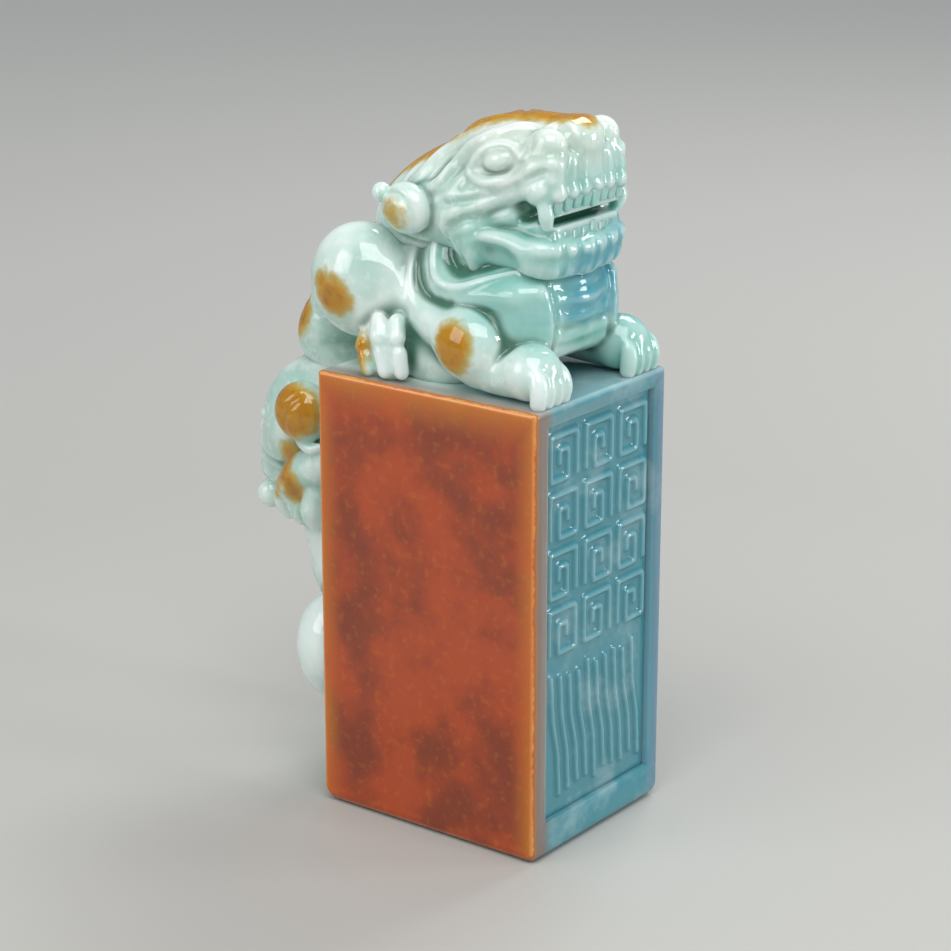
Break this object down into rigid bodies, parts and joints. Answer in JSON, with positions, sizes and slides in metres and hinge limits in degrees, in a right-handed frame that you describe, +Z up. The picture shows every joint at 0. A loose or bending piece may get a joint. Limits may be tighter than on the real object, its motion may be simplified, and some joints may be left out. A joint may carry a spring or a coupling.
{
  "type": "seal stamp",
  "caption": "Upright rectangular jade seal with a crouching guardian beast carved as its knob, a cub on its back face and a sunken relief panel in front.",
  "frame": {"origin": "middle of the flat seal face at the foot of the block", "axes": "+Z up the block to the beast, +X the way the beast looks, out of the carved panel, +Y to the beast's left"},
  "size_m": [0.0474, 0.024, 0.0792],
  "materials": {
    "celadon_jade": "polished jadeite, pale celadon",
    "blue_green_jade": "polished jadeite, blue-green",
    "amber_skin_jade": "polished jadeite, orange-brown skin over a pale body",
    "amber_spotted_jade": "polished jadeite, celadon with amber skin spots"
  },
  "bodies": {
    "root": {"seal_block": "amber_skin_jade", "front_panel": "blue_green_jade", "upper_teeth": "celadon_jade", "lower_teeth": "blue_green_jade", "left_eye": "celadon_jade", "right_eye": "celadon_jade", "head": "celadon_jade", "lower_jaw": "blue_green_jade", "tongue": "blue_green_jade", "nose": "celadon_jade", "left_brow": "celadon_jade", "right_brow": "celadon_jade", "left_ear": "celadon_jade", "right_ear": "amber_spotted_jade", "left_collar": "blue_green_jade", "right_collar": "celadon_jade", "belly_scutes": "blue_green_jade", "trunk": "celadon_jade", "chest": "blue_green_jade", "left_foreleg": "blue_green_jade", "right_foreleg": "celadon_jade", "left_haunch": "celadon_jade", "right_haunch": "celadon_jade", "left_hind_foot": "celadon_jade", "right_hind_foot": "amber_spotted_jade", "tail": "amber_spotted_jade", "cub_head": "celadon_jade", "cub_trunk": "celadon_jade", "cub_left_ear": "celadon_jade", "cub_right_ear": "amber_spotted_jade", "cub_jaw": "celadon_jade", "pearl": "celadon_jade", "cub_left_foreleg": "celadon_jade", "cub_right_foreleg": "amber_spotted_jade", "cub_left_haunch": "celadon_jade", "cub_right_haunch": "celadon_jade", "cub_tail": "celadon_jade"}
  },
  "joints": []
}
